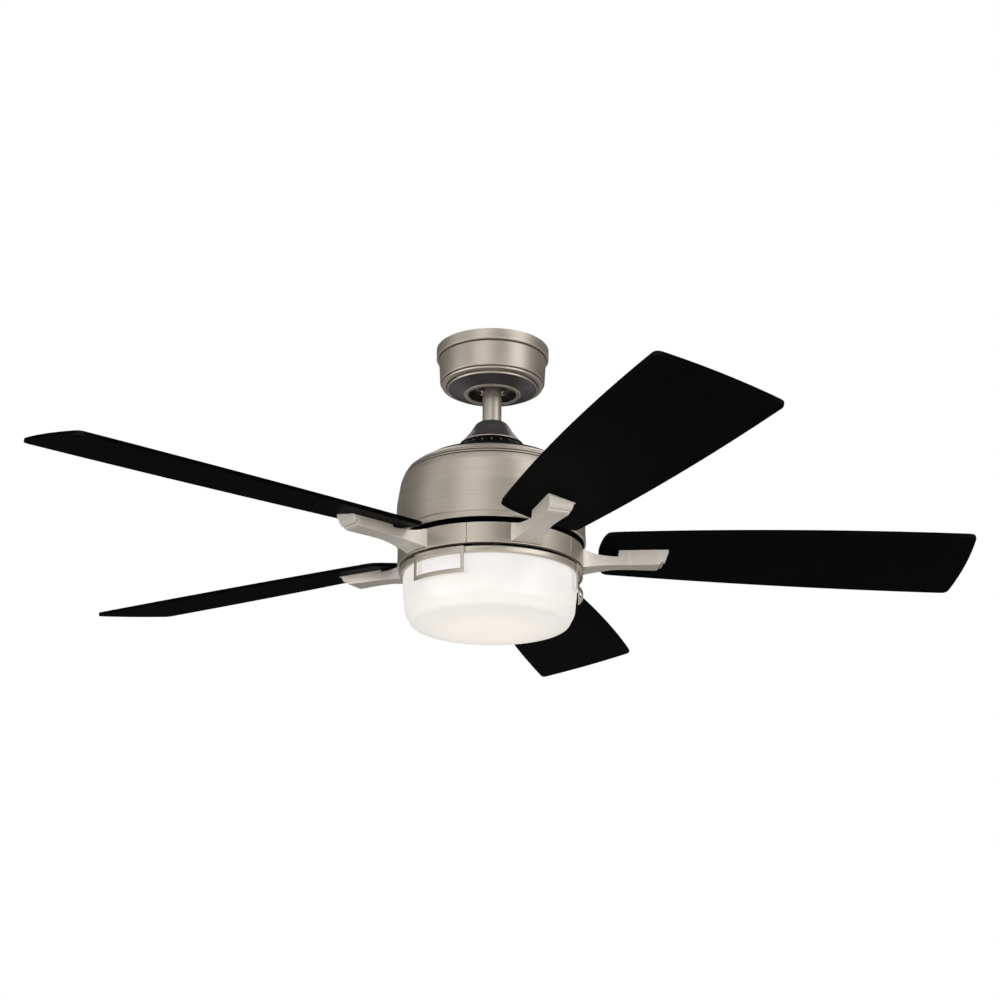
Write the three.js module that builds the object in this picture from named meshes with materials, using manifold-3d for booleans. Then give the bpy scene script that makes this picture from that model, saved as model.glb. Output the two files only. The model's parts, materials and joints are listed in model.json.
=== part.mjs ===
// A five-blade ceiling fan with a glass light, hung on a short downrod from a ball in a canopy.
// Millimetres. +Z is up and the origin is on the fan's axis in the plane of the ceiling.
import * as THREE from "three";
import { mergeVertices } from "three/addons/utils/BufferGeometryUtils.js";
import Module from "manifold-3d";

const wasm = await Module();
wasm.setup();

// ---------------------------------------------------------------- driving dimensions

const gap = 0.3; // between two pieces that touch
const bladeCount = 5;
const bladeStep = (2 * Math.PI) / bladeCount;
const firstBlade = THREE.MathUtils.degToRad(2.2); // azimuth of blade 1
const sweepRadius = 660; // blade tips: a 52 inch fan
const rodRadius = 13.35; // 3/4 inch pipe
const rodBore = 10.5;

const canopyRadius = 79.3;
const canopyWall = 1.2;
const canopyFloor = -57.2; // underside of the canopy's floor
const canopyMouth = 34;
const plateWidth = 34; // hanger bracket, across
const plateHalfLength = 60; // hanger bracket's lower plate
const bracketTop = { halfLength: 48, thickness: 2.5 };
const bracketFloor = canopyFloor + canopyWall + gap; // underside of the lower plate
const screwReach = 54; // canopy screws, from the axis

const ballCentre = -41;
const ballRadius = 24;
const seatWall = 2;
const seatRadius = ballRadius + gap + seatWall;
const socketRadius = seatRadius + 0.8; // room for the liner's flats to turn in the socket's
const pinHeight = ballCentre + 5; // cross pin through ball and rod

const coverTop = -112;
const coverBottom = -144.5;
const yokeTop = -122;
const yokeStep = -147.3; // the rod's lower end rests here
const yokeFoot = -157;
const clevisHeight = -130;
const shaftRadius = 8;
const shaftBore = 5.4;

const motorTop = -176;
const motorRadius = 129.8;
const motorBottom = -289.9;
const motorWall = 1.5;

const bandRadius = 126.4; // ring formed by the five arm castings
const bandTop = -296.7;
const bandBottom = -324.4;
const bandWall = 7;

const ringRadius = 123.9; // light ring under the band
const ringTop = -328.1;
const ringBottom = -336.4;

const glassRadius = 118.2;
const glassTop = -334.5;
const glassLip = -337.5; // underside of the rim that the pan's tabs hold
const skirtRadius = 109.7; // the pan's skirt, inside the rim
const tabReach = 113.2;
const tabCount = 3;
const tabSpan = THREE.MathUtils.degToRad(20);
const notchSpan = THREE.MathUtils.degToRad(24);
const unlockTurn = THREE.MathUtils.degToRad(30); // from locked to the notches
const glassBottom = -409;
const glassWall = 3;

const bladePitch = THREE.MathUtils.degToRad(12.9);
const bladeHeight = -293.3; // middle of the blade's thickness, on the arm's centre line
const bladeThickness = 5.6;
const armLead = THREE.MathUtils.degToRad(1.3); // from the blade's azimuth to its arm's
const padInner = 174.5;
const padEnd = 242.5; // outer end of the pad, where it meets the blade

const roundSegments = 36; // big visible rounds
const innerSegments = 24; // rounds inside the housings
const smallSegments = 12; // pins and screws

// ---------------------------------------------------------------- materials

function finish(color, roughness, metalness, extra = {}) {
  return new THREE.MeshStandardMaterial({ color, roughness, metalness, ...extra });
}

const brushedNickel = finish(0xb0a796, 0.34, 1.0);
const darkBronze = finish(0x332e33, 0.45, 0.7);
const blackPaint = finish(0x0c0c0d, 0.5, 0.1);
const bladeBlack = finish(0x050505, 0.55, 0.0);
const opalGlass = finish(0xf2efe8, 0.35, 0.0, { emissive: 0x6a645a });
const zincSteel = finish(0xa9acad, 0.4, 0.9);
const rawSteel = finish(0x77797c, 0.5, 0.8);
const nylon = finish(0xd9d5c8, 0.6, 0.0);
const blackPlastic = finish(0x151515, 0.6, 0.0);
const copper = finish(0xa8602c, 0.45, 0.9);
const aluminium = finish(0xc9ccce, 0.45, 0.8);
const whitePaint = finish(0xe9e9e6, 0.6, 0.0);

// ---------------------------------------------------------------- helpers

const group = new THREE.Group();

function add(name, geometry, material) {
  const mesh = new THREE.Mesh(geometry, material);
  mesh.name = name;
  group.add(mesh);
  return mesh;
}

// A closed geometry as a manifold solid.
function solid(geometry) {
  const plain = geometry.clone();
  plain.deleteAttribute("normal");
  plain.deleteAttribute("uv");
  const merged = mergeVertices(plain, 1e-4);
  const mesh = new wasm.Mesh({
    numProp: 3,
    vertProperties: merged.attributes.position.array,
    triVerts: new Uint32Array(merged.index.array),
  });
  return new wasm.Manifold(mesh);
}

// A manifold solid as a geometry.
function surface(body) {
  const mesh = body.getMesh();
  const geometry = new THREE.BufferGeometry();
  geometry.setAttribute("position", new THREE.BufferAttribute(mesh.vertProperties, 3));
  geometry.setIndex(new THREE.BufferAttribute(mesh.triVerts, 1));
  geometry.computeVertexNormals();
  return geometry;
}

function joined(...geometries) {
  return surface(geometries.map(solid).reduce((a, b) => a.add(b)));
}

function cut(geometry, ...tools) {
  return surface(tools.map(solid).reduce((a, b) => a.subtract(b), solid(geometry)));
}

function common(a, b) {
  return surface(solid(a).intersect(solid(b)));
}

// A solid of revolution about Z from [radius, height] points. The outline closes on itself,
// or starts and ends on the axis.
function revolve(outline, segments = roundSegments) {
  const onAxis = outline[0][0] === 0 && outline[outline.length - 1][0] === 0;
  const ring = onAxis ? [...outline] : [...outline, outline[0]];
  let area = 0;
  for (let i = 0; i < ring.length; i += 1) {
    const [r0, z0] = ring[i];
    const [r1, z1] = ring[(i + 1) % ring.length];
    area += r0 * z1 - r1 * z0;
  }
  if (area < 0) ring.reverse();
  const points = ring.map(([r, z]) => new THREE.Vector2(r, z));
  return new THREE.LatheGeometry(points, segments).rotateX(Math.PI / 2);
}

// The outline of a thin wall: its outer line, and the inner line that leads back.
function wall(outer, inner) {
  return [...outer, ...[...inner].reverse()];
}

// A ring of rectangular section.
function ring(inner, outer, low, high, segments = innerSegments) {
  const outline = [[inner, low], [outer, low], [outer, high], [inner, high]];
  return revolve(outline, segments);
}

function rod(radius, low, high, segments = smallSegments) {
  return revolve([[0, low], [radius, low], [radius, high], [0, high]], segments);
}

function box(x0, x1, y0, y1, z0, z1) {
  const geometry = new THREE.BoxGeometry(x1 - x0, y1 - y0, z1 - z0);
  return geometry.translate((x0 + x1) / 2, (y0 + y1) / 2, (z0 + z1) / 2);
}

// A flat outline in X and Y, made into a plate between two heights.
function plate(outline, low, high) {
  const shape = new THREE.Shape(outline.map(([x, y]) => new THREE.Vector2(x, y)));
  const options = { depth: high - low, bevelEnabled: false };
  return new THREE.ExtrudeGeometry(shape, options).translate(0, 0, low);
}

// Part of a ring, centred on +X.
function sector(inner, outer, span, low, high, steps = 6) {
  const front = [];
  const back = [];
  for (let i = 0; i <= steps; i += 1) {
    const angle = -span / 2 + (span * i) / steps;
    front.push([outer * Math.cos(angle), outer * Math.sin(angle)]);
    back.push([inner * Math.cos(angle), inner * Math.sin(angle)]);
  }
  return plate([...front, ...back.reverse()], low, high);
}

// A closed body through sections across X. Each section is [x, corners], and its corners are
// [y, z] points that run anticlockwise as seen from +X.
function loft(sections) {
  const count = sections[0][1].length;
  const points = sections.flatMap(([x, corners]) => corners.flatMap(([y, z]) => [x, y, z]));
  const last = (sections.length - 1) * count;
  const faces = [];
  for (let i = 1; i < count - 1; i += 1) {
    faces.push(0, i + 1, i);
    faces.push(last, last + i, last + i + 1);
  }
  for (let start = 0; start < last; start += count) {
    for (let i = 0; i < count; i += 1) {
      const a = start + i;
      const b = start + ((i + 1) % count);
      faces.push(a, b, b + count);
      faces.push(a, b + count, a + count);
    }
  }
  const geometry = new THREE.BufferGeometry();
  geometry.setAttribute("position", new THREE.Float32BufferAttribute(points, 3));
  geometry.setIndex(faces);
  return geometry;
}

// Copies of a geometry spaced evenly round Z.
function around(count, geometry, start = 0) {
  return Array.from({ length: count }, (_, i) =>
    turned(geometry, start + (i * 2 * Math.PI) / count),
  );
}

// A copy of a geometry turned about Z.
function turned(geometry, angle) {
  return geometry.clone().rotateZ(angle);
}

// ---------------------------------------------------------------- ceiling side

// A folded steel frame with a raised socket, open at +Y so that the rod can be passed in. A
// pin in the socket's wall at -Y stands in the ball's groove, and keeps it from turning about Z.
function hangerBracket() {
  const half = plateWidth / 2;
  const { halfLength, thickness } = bracketTop;
  const slotWidth = 2 * rodRadius + 3;
  const slotX = 36;
  const slotHalf = 6;
  const slotRadius = 2.5;
  const collarRadius = 31;
  const top = box(-halfLength, halfLength, -half, half, -thickness, 0);
  const lower = box(
    -plateHalfLength, plateHalfLength, -half, half, bracketFloor, bracketFloor + thickness,
  );
  const legs = [-1, 1].map((side) => {
    const x0 = side > 0 ? halfLength - thickness : -halfLength;
    return box(x0, x0 + thickness, -half, half, bracketFloor, 0);
  });
  const collar = rod(collarRadius, bracketFloor, ballCentre + 3, innerSegments);
  const socket = new THREE.SphereGeometry(socketRadius, innerSegments, smallSegments)
    .rotateX(Math.PI / 2)
    .translate(0, 0, ballCentre);
  const doorway = box(-slotWidth / 2, slotWidth / 2, 0, collarRadius + 5, bracketFloor - 1, -20);
  const slots = [-1, 1].map((side) =>
    box(side * slotX - slotHalf, side * slotX + slotHalf, -slotRadius, slotRadius, -5, 1),
  );
  const screwHoles = [-1, 1].map((side) =>
    rod(2.4, bracketFloor - 1, bracketFloor + 4).translate(side * screwReach, 0, 0),
  );
  const pin = rod(1.5, ballRadius - 2.5, seatRadius + 3, 8)
    .rotateX(Math.PI / 2)
    .translate(0, 0, ballCentre);
  const body = cut(joined(top, lower, ...legs, collar), socket, doorway, ...slots, ...screwHoles);
  return joined(body, pin);
}

function canopy() {
  const outer = [
    [canopyRadius, 0], [canopyRadius, -15.7], [75.4, -16.1], [73.6, -51.4], [72.6, -53.4],
    [71.2, -56.2], [69.6, canopyFloor], [canopyMouth, canopyFloor],
  ];
  const floor = canopyFloor + canopyWall;
  const inner = [
    [canopyRadius - canopyWall, 0], [canopyRadius - canopyWall, -14.5], [74.2, -14.9],
    [71.2, -53], [68.8, floor], [canopyMouth, floor],
  ];
  const shell = revolve(wall(outer, inner));
  const holes = [-1, 1].map((side) =>
    rod(2.4, canopyFloor - 2, canopyFloor + 3).translate(side * screwReach, 0, 0),
  );
  return cut(shell, ...holes);
}

// The dark dish that hides the canopy screws, with a rolled lip round the rod's opening.
function trimRing() {
  const outer = [
    [66, canopyFloor - gap], [65.4, -58.8], [50, -64.6], [39, -67.4], [37.2, -69.2],
    [35.2, -69.2], [33.6, -67],
  ];
  const inner = [[65, canopyFloor - gap], [64.4, -58.2], [49.6, -63.6], [36, -67.2]];
  return revolve(wall(outer, inner));
}

function canopyScrew(side) {
  const head = [[0, -61], [2.5, -60.8], [4, -59.4], [4.2, canopyFloor - gap], [2, canopyFloor - gap]];
  const shank = [[2, bracketFloor + 3.5], [0, bracketFloor + 3.5]];
  return revolve([...head, ...shank], 12).translate(side * screwReach, 0, 0);
}

// The remote control's receiver, a flat plastic box above the ball.
function receiver() {
  const body = box(-38, 38, -16, 16, -17, -bracketTop.thickness - gap);
  const antenna = box(-38, -26, -16, -13, -19, -16.5);
  return joined(body, antenna);
}

// The nylon liner of the socket.
function ballSeat() {
  const steps = 3;
  const lowest = -14.3;
  const highest = -1;
  const arc = (radius) =>
    Array.from({ length: steps + 1 }, (_, i) => {
      const z = lowest + ((highest - lowest) * i) / steps;
      return [Math.sqrt(radius * radius - z * z), ballCentre + z];
    });
  const outline = [...arc(seatRadius), ...arc(ballRadius + gap).reverse()];
  const doorway = box(-rodRadius - 1.5, rodRadius + 1.5, 0, 40, -70, -20);
  const notch = box(-3.5, 3.5, -40, 0, ballCentre - 9, -20);
  return cut(revolve(outline, innerSegments), doorway, notch);
}

// ---------------------------------------------------------------- ball, rod and coupling

function hangerBall() {
  const sphere = new THREE.SphereGeometry(ballRadius, innerSegments, smallSegments)
    .rotateX(Math.PI / 2)
    .translate(0, 0, ballCentre);
  const slab = box(-30, 30, -30, 30, ballCentre - 17, ballCentre + 14);
  const bore = rod(rodRadius + gap, -90, 0, 24);
  const pinHole = rod(3.3, -30, 30).rotateY(Math.PI / 2).translate(0, 0, pinHeight);
  const groove = box(-3, 3, -30, 3.5 - ballRadius, -70, -20);
  const screwHole = rod(2.8, 0, 30).rotateX(-Math.PI / 2).translate(0, 0, ballCentre + 8);
  return cut(common(sphere, slab), bore, pinHole, groove, screwHole);
}

function crossPin() {
  return rod(3, -22, 22, 12).rotateY(Math.PI / 2).translate(0, 0, pinHeight);
}

function setScrew() {
  const body = rod(2.5, rodRadius + gap, 21.5, 12).rotateX(-Math.PI / 2);
  return body.translate(0, 0, ballCentre + 8);
}

function downrod() {
  const tube = ring(rodBore, rodRadius, yokeStep + gap, ballCentre + 14.5, 24);
  const upper = rod(3.3, -20, 20, 12).rotateY(Math.PI / 2).translate(0, 0, pinHeight);
  const lower = rod(3.3, -20, 20, 12).rotateY(Math.PI / 2).translate(0, 0, clevisHeight);
  return cut(tube, upper, lower);
}

// The bell over the coupling, which slides up the rod for assembly.
function couplingCover() {
  const outer = [
    [rodRadius + 0.6, coverTop], [19.8, coverTop - 0.3], [22.6, -114.2], [27.6, -122],
    [31, -128], [35.6, -134.4], [44.4, coverBottom],
  ];
  const inner = [
    [rodRadius + 0.6, coverTop - 1.2], [19.4, coverTop - 1.5], [21.5, -115], [29.8, -128.5],
    [34.6, -135.2], [43.2, coverBottom],
  ];
  return revolve(wall(outer, inner), innerSegments);
}

// The coupling between rod and motor shaft.
function yoke() {
  const cup = revolve([
    [rodRadius + gap, yokeTop], [19, yokeTop], [19, -150], [30, -152], [30, yokeFoot],
    [shaftRadius + gap, yokeFoot], [shaftRadius + gap, yokeStep], [rodRadius + gap, yokeStep],
  ], 24);
  const pinHole = rod(3.3, -30, 30, 12).rotateY(Math.PI / 2).translate(0, 0, clevisHeight);
  return cut(cup, pinHole);
}

// A headed pin with a groove for its clip.
function clevisPin() {
  const outline = [
    [0, -23], [4.6, -23], [4.6, -20.5], [3, -19.3], [3, 20.5], [2.4, 20.5], [2.4, 21.7],
    [3, 21.7], [3, 24], [0, 24],
  ];
  return revolve(outline, 10).rotateY(Math.PI / 2).translate(0, 0, clevisHeight);
}

function pinClip() {
  const washer = ring(2.6, 5.4, 20.7, 21.5, 16);
  const mouth = box(-1.6, 1.6, 0, 8, 20, 22);
  return cut(washer, mouth).rotateY(Math.PI / 2).translate(0, 0, clevisHeight);
}

// The wires from the receiver, where they run down inside the rod, past its two pins, and on
// through the hollow shaft.
function supplyLead() {
  const radius = 3;
  const beside = -6.9;
  const route = new THREE.CatmullRomCurve3([
    new THREE.Vector3(0, beside, ballCentre + 12),
    new THREE.Vector3(0, beside, -80),
    new THREE.Vector3(0, beside, -120),
    new THREE.Vector3(0, beside, clevisHeight - 5),
    new THREE.Vector3(0, -1, yokeStep - 3),
    new THREE.Vector3(0, 0, -165),
    new THREE.Vector3(0, 0, -338),
  ]);
  const section = new THREE.Shape().absarc(0, 0, radius, 0, 2 * Math.PI);
  const options = { steps: 30, extrudePath: route, curveSegments: 4 };
  return new THREE.ExtrudeGeometry(section, options);
}

// ---------------------------------------------------------------- motor, fixed side

// The black ventilated cap under the coupling cover. Its hub sits under the yoke's foot, and
// its skirt carries the housing.
function motorCap() {
  const outline = [
    [shaftRadius + gap, yokeFoot - gap], [36, yokeFoot - gap], [41.6, coverBottom - 1.5],
    [44.4, coverBottom - 1.5], [48.6, -150.2], [62, -161.4], [74, -168], [96, -173.5],
    [95, -176], [72, -171], [59, -164], [44, -163], [shaftRadius + gap, -163],
  ];
  const ventCount = 12;
  const vents = around(ventCount, box(62, 78, -2.6, 2.6, -180, -150), Math.PI / ventCount);
  return cut(revolve(outline, innerSegments), ...vents);
}

// The drawn steel housing: two beads at the top, a rounded shoulder and a lip at the bottom.
function motorHousing() {
  const outer = [
    [88, motorTop - 0.2], [100, motorTop - 1.6], [111.4, -183.8], [117, -190.6], [120, -195],
    [124.8, -208], [129.2, -238], [motorRadius, -281.4], [130.3, -284], [130.3, -288.6],
    [129, motorBottom],
  ];
  const inner = [
    [88, motorTop - 0.2 - motorWall], [99.6, motorTop - 3.2], [118, -195], [127.6, -238.2],
    [128, -282], [127, motorBottom],
  ];
  return revolve(wall(outer, inner));
}

function motorShaft() {
  return ring(shaftBore, shaftRadius, -343, yokeStep - gap, 20);
}

const statorTop = -223;
const statorBottom = -243;
const statorRadius = 80;

const slotCount = 12;

// Laminated core with winding slots round its rim.
function statorCore() {
  const slots = around(slotCount, box(60, 90, -3.2, 3.2, statorBottom - 1, statorTop + 1));
  return cut(ring(shaftRadius + gap, statorRadius, statorBottom, statorTop), ...slots);
}

// The winding: an end turn above the core, one below it, and its bars in the slots.
function statorWinding() {
  const high = statorTop + gap;
  const low = statorBottom - gap;
  const upper = [[55, high], [74, high], [74, high + 5], [71, high + 8], [58, high + 8]];
  const lower = [[55, low], [74, low], [74, low - 5], [71, low - 8], [58, low - 8]];
  const bars = around(slotCount, box(61, 73, -2.8, 2.8, low - 1, high + 1));
  return joined(revolve(upper, innerSegments), revolve(lower, innerSegments), ...bars);
}

function bearing(middle) {
  return ring(shaftRadius + gap, 17, middle - 5, middle + 5, 20);
}

// ---------------------------------------------------------------- motor, turning side

const shellRadius = 98;
const shellSplit = -233;
const bearingUpper = -196;
const bearingLower = -268;

// The rotor's upper half shell, on the upper bearing.
function rotorUpper() {
  const low = shellSplit + gap / 2;
  const seat = 17 + gap;
  const outline = [
    [shellRadius, low], [shellRadius, -200], [90, -193], [12, -187], [12, -190.7], [seat, -190.7],
    [seat, -201.2], [22, -201.2], [24, -192], [87, -196.8], [shellRadius - 4, -202.5],
    [shellRadius - 4, low],
  ];
  return revolve(outline, innerSegments);
}

// The rotor's lower half shell, whose flange carries the arms.
function rotorLower() {
  const top = shellSplit - gap / 2;
  const seat = 17 + gap;
  const flange = bandRadius - bandWall - 1; // clear of the flats of the arms' inner faces
  const outline = [
    [shellRadius, top], [shellRadius, -266], [102, -271], [102, bandTop - 2],
    [flange, bandTop - 2], [flange, bandTop - 6], [98, bandTop - 6], [98, -277], [12, -277],
    [12, -273.3], [seat, -273.3], [seat, -263], [22, -263], [24, -272.5], [90, -272.5],
    [shellRadius - 4, -268.5], [shellRadius - 4, top],
  ];
  return revolve(outline, innerSegments);
}

// ---------------------------------------------------------------- arms and blades

const armRoot = bandRadius - 0.4;

// Tilts a geometry made flat at zero height into the blade's plane: its clockwise side rises.
function pitched(geometry) {
  return geometry.rotateX(-bladePitch).translate(0, 0, bladeHeight);
}

// The neck and the pad from the band outwards: [x, half width below, half width above,
// underside, top]. The pad's top stands too high, and is cut to the blade's underside.
const padCut = -280;
const armSections = [
  [armRoot - 5, 21, 21, bandBottom + 1, bandTop - 1],
  [armRoot + 1.5, 20.5, 20.5, bandBottom + 2, bandTop - 1],
  [132, 19, 18.8, -321.2, -299],
  [140, 17.6, 17, -319.8, -301.2],
  [150, 16.2, 15.4, -318.2, -302.7],
  [162, 14, 13.6, -316.4, -303.4],
  [padInner, 12.6, 12.5, -315.4, -303.6],
  [padInner + 0.2, 12.6, 12.5, -315.4, padCut],
  [190, 12.2, 13.8, -314.9, padCut],
  [212, 13.4, 15.8, -314.6, padCut],
  [228.5, 14.8, 17.3, -313.8, padCut],
  [234, 15.4, 17.8, -311.6, padCut],
  [239.6, 16.8, 18.2, -304, padCut],
  [padEnd, 18.4, 18.4, -294, padCut],
];

// One casting: a fifth of the band, a curved neck and a pad under the blade.
function arm(index) {
  const azimuth = firstBlade + index * bladeStep + armLead;
  const halfAngle = bladeStep / 2 - gap / 2 / bandRadius;
  const segment = sector(bandRadius - bandWall, bandRadius, 2 * halfAngle, bandBottom, bandTop);
  const neck = loft(
    armSections.map(([x, lower, upper, bottom, top]) => [
      x,
      [[-lower, bottom], [lower, bottom], [upper, top], [-upper, top]],
    ]),
  );
  const above = box(120, 300, -60, 60, -bladeThickness / 2 - gap, 60);
  const body = cut(neck, turned(pitched(above), -armLead));
  return turned(joined(segment, body), azimuth);
}

// The blade's outline along X, from its root to its tip. Y is negative on the raised side.
function bladeOutline() {
  const shape = new THREE.Shape();
  const corner = 9;
  shape.moveTo(148, 0);
  shape.quadraticCurveTo(149.5, -30, 154 + 2, -45 + corner - 6);
  shape.quadraticCurveTo(157, -46, 168, -47.5);
  shape.quadraticCurveTo(400, -70, 654 - corner, -64);
  shape.quadraticCurveTo(655, -63.6, 655.6, -64 + corner);
  shape.quadraticCurveTo(sweepRadius + 3, 15, 654.6, 93.5 - corner);
  shape.quadraticCurveTo(653.6, 93.2, 653 - corner, 93);
  shape.quadraticCurveTo(400, 88, 166, 62.5);
  shape.quadraticCurveTo(156.5, 61.5, 155, 61 - corner);
  shape.quadraticCurveTo(149.5, 30, 148, 0);
  return shape;
}

const screwSpots = [[192, 0], [226, -9.5], [226, 9.5]];

function blade(index) {
  const options = { depth: bladeThickness, bevelEnabled: false, curveSegments: 5 };
  const board = new THREE.ExtrudeGeometry(bladeOutline(), options)
    .translate(0, 0, -bladeThickness / 2);
  const holes = screwSpots.map(([x, y]) => rod(2.6, -20, 20, 6).translate(x, y, 0));
  const azimuth = firstBlade + index * bladeStep;
  return pitched(cut(board, ...holes)).rotateZ(azimuth);
}

// A pan-head screw through the blade from above.
function bladeScrew(index, [x, y]) {
  const low = -bladeThickness / 2 + gap;
  const face = bladeThickness / 2 + gap;
  const outline = [[0, low], [2.2, low], [2.2, face], [4.4, face], [4, face + 1.6], [0, face + 2.4]];
  const azimuth = firstBlade + index * bladeStep;
  return pitched(revolve(outline, 6).translate(x, y, 0)).rotateZ(azimuth);
}

// ---------------------------------------------------------------- light

const hubRadius = 44;

// The cup on the shaft's lower end that carries the light pan and holds the capacitor.
function lightHub() {
  const floor = -343;
  const outline = [
    [shaftRadius + gap, floor], [40, floor], [hubRadius, floor + 4], [hubRadius, -300],
    [hubRadius - 2, -300], [hubRadius - 2, floor + 5], [39, floor + 2],
    [shaftRadius + gap, floor + 2],
  ];
  return revolve(outline, innerSegments);
}

// The motor's run capacitor, in the cup.
function capacitor() {
  return box(14, 34, -13, 13, -338, -308);
}

// The pressed pan above the lamps. Three tabs on its skirt hold the glass by its rim.
function lightPan() {
  const top = ringTop + 0.4;
  const under = ringTop - 1.2;
  const skirtFoot = glassLip - gap - 1.6;
  const outline = [
    [hubRadius + gap, top], [ringRadius - 4, top], [ringRadius - 4, under],
    [skirtRadius, under], [skirtRadius, skirtFoot], [skirtRadius - 1.4, skirtFoot],
    [skirtRadius - 1.4, under], [hubRadius + gap, under],
  ];
  const tab = sector(skirtRadius - 1, tabReach, tabSpan, skirtFoot, glassLip - gap, 2);
  return joined(revolve(outline), ...around(tabCount, tab));
}

// The bright ring round the pan, tapering a little towards the glass.
function lightRing() {
  const inner = ringRadius - 4 + gap;
  const outline = [
    [inner, ringTop], [ringRadius - 0.6, ringTop], [ringRadius, ringTop - 0.8],
    [ringRadius - 0.9, ringBottom + 2.4], [ringRadius - 1.6, ringBottom],
    [glassRadius + 1.2, ringBottom], [glassRadius + 1.2, ringBottom + 1.2], [inner, ringTop - 3],
  ];
  return revolve(outline);
}

const frameSpan = THREE.MathUtils.degToRad(37);
const frameCount = 3;
const firstFrame = THREE.MathUtils.degToRad(-124.4);

// A rectangular metal frame that hangs from the ring in front of the glass.
function glassFrame(index) {
  const sideBar = 4.6;
  const foot = ringBottom - 27.4;
  const bottomBar = 6;
  const backRadius = ringRadius + gap;
  const frontRadius = backRadius + 1.8;
  const body = sector(backRadius, frontRadius, frameSpan, foot, ringTop);
  const windowSpan = frameSpan - (2 * sideBar) / ringRadius;
  const opening = sector(backRadius - 5, frontRadius + 5, windowSpan, foot + bottomBar, ringBottom);
  const azimuth = firstFrame + (index * 2 * Math.PI) / frameCount;
  return turned(cut(body, opening), azimuth);
}

// The heat sink and the board of light-emitting diodes: a disc with a ring of square chips.
function ledPlate() {
  const top = ringTop - 1.2 - gap;
  const disc = ring(hubRadius + 2, 88, top - 4, top);
  const chipCount = 12;
  const chips = around(chipCount, box(67, 73, -3, 3, top - 5.2, top - 3));
  return joined(disc, ...chips);
}

// The lamp driver, on top of the pan inside the band.
function ledDriver() {
  return box(54, 92, -16, 16, ringTop + 0.7, ringTop + 18);
}

// The opal glass bowl, held by its rim inside the ring.
function glassShade() {
  const outer = [
    [116.8, glassTop], [glassRadius, ringBottom - 1.6], [118, -350], [116.8, -366],
    [115.2, -380], [112.4, -390], [108.6, -397], [103, -402.4], [94, -405.6],
    [70, -408.2], [36, glassBottom], [0, glassBottom],
  ];
  const inner = [
    [0, glassBottom + glassWall], [70, -405.2], [93, -402.6], [105, -396.6], [109.6, -389.6],
    [113.8, -366], [114.8, -350], [114.6, glassLip], [111.2, glassLip], [111.2, glassTop],
  ];
  const notch = sector(100, tabReach + gap, notchSpan, glassLip - 1, glassTop + 1, 2);
  return cut(revolve([...outer, ...inner]), ...around(tabCount, notch, unlockTurn));
}

// ---------------------------------------------------------------- the fan

add("hanger_bracket", hangerBracket(), zincSteel);
add("canopy", canopy(), brushedNickel);
add("canopy_trim_ring", trimRing(), darkBronze);
add("canopy_screw_1", canopyScrew(-1), rawSteel);
add("canopy_screw_2", canopyScrew(1), rawSteel);
add("receiver", receiver(), blackPlastic);
add("ball_seat", ballSeat(), nylon);

add("hanger_ball", hangerBall(), blackPlastic);
add("ball_cross_pin", crossPin(), rawSteel);
add("ball_set_screw", setScrew(), rawSteel);
add("downrod", downrod(), brushedNickel);
add("coupling_cover", couplingCover(), darkBronze);
add("yoke", yoke(), rawSteel);
add("yoke_pin", clevisPin(), rawSteel);
add("yoke_pin_clip", pinClip(), rawSteel);
add("supply_lead", supplyLead(), blackPlastic);
add("motor_cap", motorCap(), blackPaint);
add("motor_housing", motorHousing(), brushedNickel);
add("motor_shaft", motorShaft(), rawSteel);
add("stator_core", statorCore(), rawSteel);
add("stator_winding", statorWinding(), copper);
add("bearing_upper", bearing(bearingUpper), rawSteel);
add("bearing_lower", bearing(bearingLower), rawSteel);
add("rotor_shell_upper", rotorUpper(), aluminium);
add("rotor_shell_lower", rotorLower(), aluminium);

for (let i = 0; i < bladeCount; i += 1) {
  add(`arm_${i + 1}`, arm(i), brushedNickel);
  add(`blade_${i + 1}`, blade(i), bladeBlack);
  screwSpots.forEach((spot, j) => {
    add(`blade_screw_${i + 1}_${j + 1}`, bladeScrew(i, spot), brushedNickel);
  });
}

add("light_hub", lightHub(), zincSteel);
add("capacitor", capacitor(), blackPlastic);
add("light_pan", lightPan(), whitePaint);
add("light_ring", lightRing(), brushedNickel);
add("led_plate", ledPlate(), aluminium);
add("led_driver", ledDriver(), whitePaint);
for (let i = 0; i < frameCount; i += 1) {
  add(`glass_frame_${i + 1}`, glassFrame(i), brushedNickel);
}
add("glass_shade", glassShade(), opalGlass);

export default group;
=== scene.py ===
"""A five-blade ceiling fan with a glass light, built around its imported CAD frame.

Metres, +Z up. The origin is on the fan's axis, in the plane of the ceiling.
"""

import json
import math

import bmesh
import bpy
from mathutils import Matrix, Vector


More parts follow.
